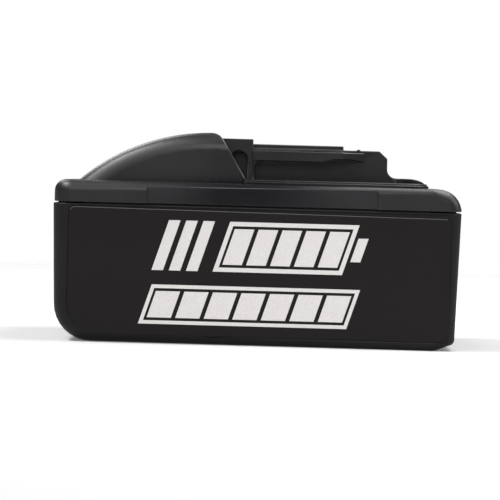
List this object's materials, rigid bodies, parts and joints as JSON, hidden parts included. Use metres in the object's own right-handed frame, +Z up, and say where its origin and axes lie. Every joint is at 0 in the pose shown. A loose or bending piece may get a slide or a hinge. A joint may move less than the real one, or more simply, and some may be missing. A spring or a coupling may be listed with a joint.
{
  "type": "power tool battery pack",
  "caption": "Slide-on battery pack for cordless tools: black moulded tub and cover with T rails, a humped end with a sprung release latch, cells, carrier and control board inside.",
  "frame": {"origin": "centre of the pack's footprint, on the face it rests on", "axes": "+X towards the insertion end with the terminals, -X the latch hump, +Z up, label on the -Y side"},
  "size_m": [0.114, 0.075, 0.0592],
  "materials": {
    "case_plastic": "fine spark-eroded texture",
    "cover_plastic": "fine spark-eroded texture",
    "label_film": "satin film",
    "button_plastic": "fine texture",
    "latch_plastic": "smooth moulded",
    "indicator_red": "smooth moulded",
    "screw_steel": "zinc plated",
    "spring_steel": "drawn wire",
    "carrier_plastic": "smooth moulded",
    "cell_sleeve": "shrink sleeve over a metal can",
    "nickel": "rolled strip",
    "insulating_sheet": "sheet",
    "foam": "closed-cell foam",
    "board_laminate": "solder resist",
    "chip_resin": "moulded resin",
    "fuse_body": "ceramic tube with metal caps",
    "contact_brass": "sprung sheet",
    "socket_plastic": "smooth moulded"
  },
  "bodies": {
    "pack": {"lower_case": "case_plastic", "upper_cover": "cover_plastic", "label_film": "label_film", "latch_base": "latch_plastic", "lock_indicator": "indicator_red", "case_screws": "screw_steel", "latch_base_screws": "screw_steel", "board_screws": "screw_steel", "latch_spring_left": "spring_steel", "latch_spring_right": "spring_steel", "cell_holder_left": "carrier_plastic", "cell_holder_right": "carrier_plastic", "cell_1": "cell_sleeve", "cell_2": "cell_sleeve", "cell_3": "cell_sleeve", "cell_4": "cell_sleeve", "cell_5": "cell_sleeve", "cell_6": "cell_sleeve", "cell_7": "cell_sleeve", "cell_8": "cell_sleeve", "cell_9": "cell_sleeve", "cell_10": "cell_sleeve", "strip_minus": "nickel", "strip_1": "nickel", "strip_2": "nickel", "strip_3": "nickel", "strip_4": "nickel", "strip_plus": "nickel", "insulator_left": "insulating_sheet", "insulator_right": "insulating_sheet", "cell_pads": "foam", "control_board": "board_laminate", "board_parts": "chip_resin", "board_fuse": "fuse_body", "terminal_plus": "contact_brass", "terminal_minus": "contact_brass", "signal_pins": "contact_brass", "signal_socket": "socket_plastic"},
    "latch": {"release_button": "button_plastic", "latch_slider": "latch_plastic"}
  },
  "joints": [
    {"name": "latch_press", "type": "slide", "parent": "pack", "child": "latch", "axis": [0, 0, -1], "range_m": [0, 0.004], "stiffness_N_per_m": 600, "springref_m": -0.004, "deforming": ["latch_spring_left", "latch_spring_right"]}
  ]
}
